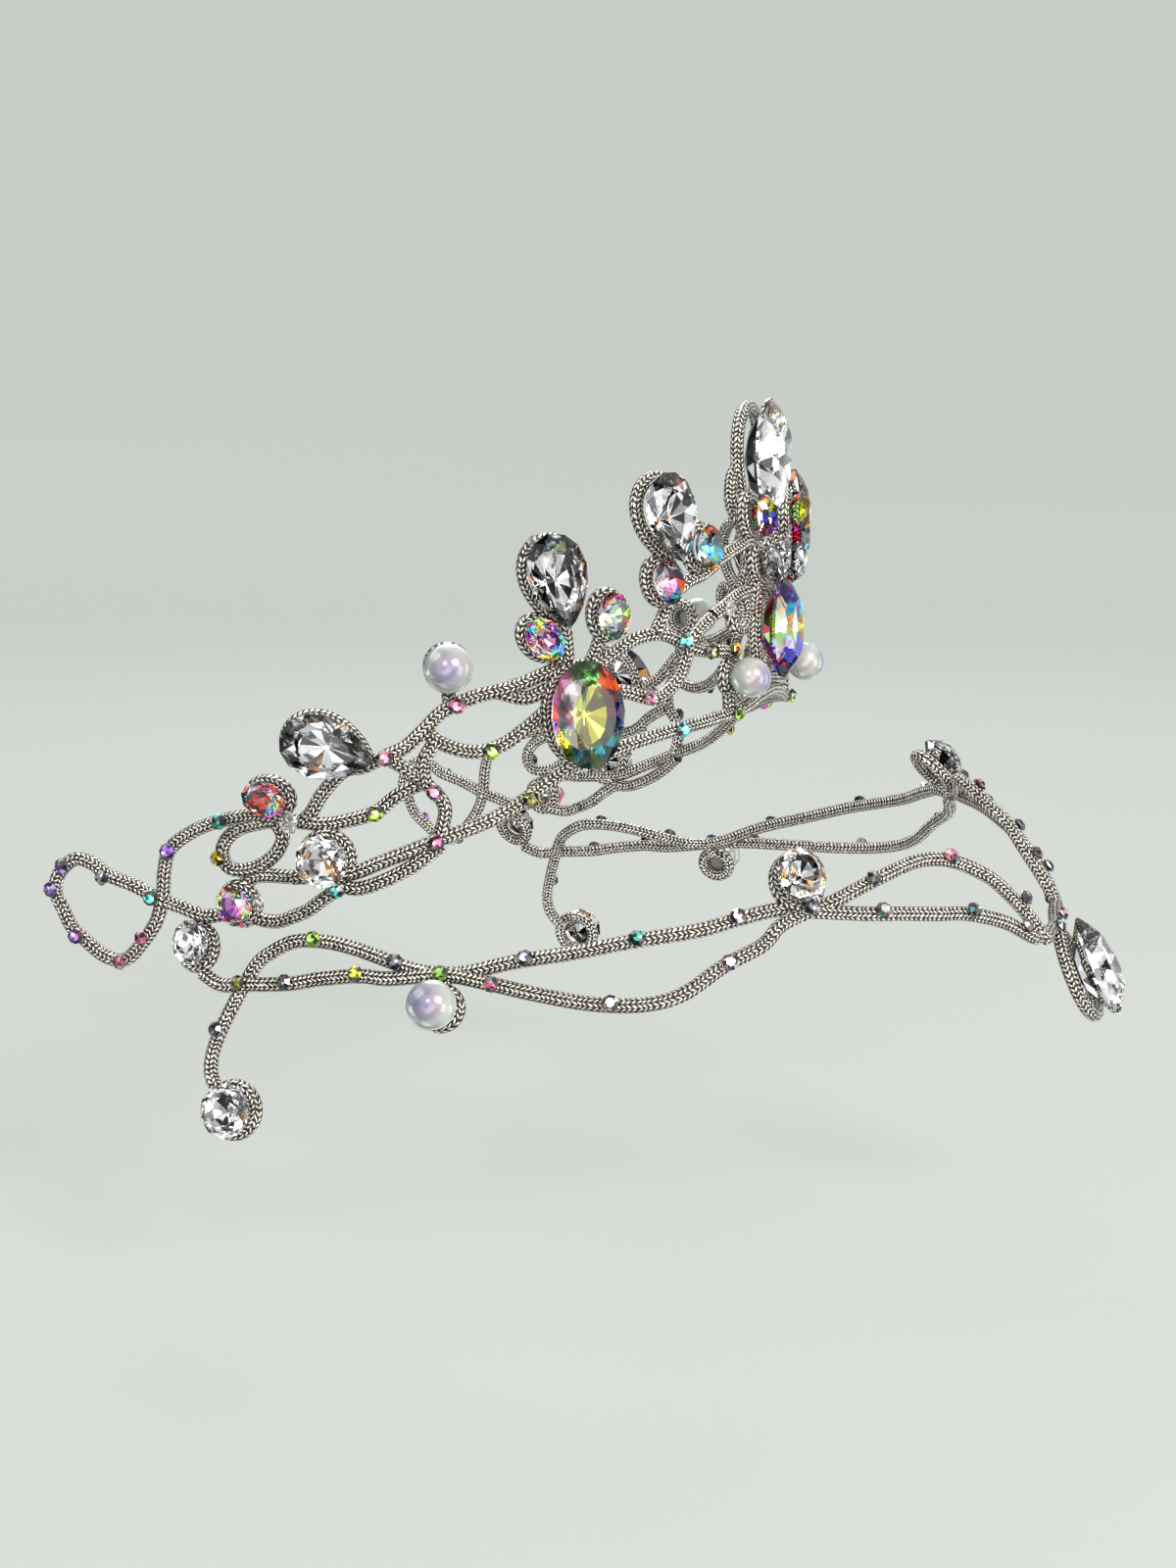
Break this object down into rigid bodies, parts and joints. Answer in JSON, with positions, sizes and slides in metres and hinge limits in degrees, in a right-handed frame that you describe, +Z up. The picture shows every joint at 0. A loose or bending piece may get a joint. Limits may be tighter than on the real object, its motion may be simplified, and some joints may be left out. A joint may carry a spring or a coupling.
{
  "type": "ballet tiara with forehead band",
  "caption": "Ballet tiara of bound silver cord with clear and rainbow cut stones and pearls, standing over the crown, with a looped band and drop across the forehead.",
  "frame": {"origin": "crown of the head that wears it, the top of the head hollow", "axes": "the front faces -Y, +Z is up, the wearer's right side is -X"},
  "size_m": [0.165, 0.1709, 0.1207],
  "materials": {
    "bound_cord": "silver metallic braid over wire",
    "clear_stone": "foil-backed clear crystal",
    "rainbow_stone": "foil-backed crystal with a rainbow coat",
    "pearl_bead": "white pearl with a soft sheen"
  },
  "bodies": {
    "root": {"centre_frame": "bound_cord", "band_front_frame": "bound_cord", "right_wing_frame": "bound_cord", "right_tail_frame": "bound_cord", "right_band_frame": "bound_cord", "left_wing_frame": "bound_cord", "left_tail_frame": "bound_cord", "left_band_frame": "bound_cord", "top_pear": "clear_stone", "fan_pear_middle": "clear_stone", "band_drop": "clear_stone", "right_fan_pear": "clear_stone", "right_front_pear": "clear_stone", "right_middle_pear": "clear_stone", "right_lying_pear": "clear_stone", "right_tail_round": "clear_stone", "right_temple_round": "clear_stone", "right_tip_oval": "clear_stone", "right_tip_round": "clear_stone", "left_fan_pear": "clear_stone", "left_front_pear": "clear_stone", "left_middle_pear": "clear_stone", "left_lying_pear": "clear_stone", "left_tail_round": "clear_stone", "left_temple_round": "clear_stone", "left_tip_oval": "clear_stone", "left_tip_round": "clear_stone", "centre_oval": "rainbow_stone", "right_top_side_oval": "rainbow_stone", "right_front_oval_low": "rainbow_stone", "right_front_oval_side": "rainbow_stone", "right_middle_oval_back": "rainbow_stone", "right_middle_oval_front": "rainbow_stone", "right_large_oval": "rainbow_stone", "right_tail_oval": "rainbow_stone", "right_tail_end_oval": "rainbow_stone", "left_top_side_oval": "rainbow_stone", "left_front_oval_low": "rainbow_stone", "left_front_oval_side": "rainbow_stone", "left_middle_oval_back": "rainbow_stone", "left_middle_oval_front": "rainbow_stone", "left_large_oval": "rainbow_stone", "left_tail_oval": "rainbow_stone", "left_tail_end_oval": "rainbow_stone", "right_centre_pearl": "pearl_bead", "right_wing_pearl": "pearl_bead", "right_band_pearl": "pearl_bead", "left_centre_pearl": "pearl_bead", "left_wing_pearl": "pearl_bead", "left_band_pearl": "pearl_bead"}
  },
  "joints": []
}
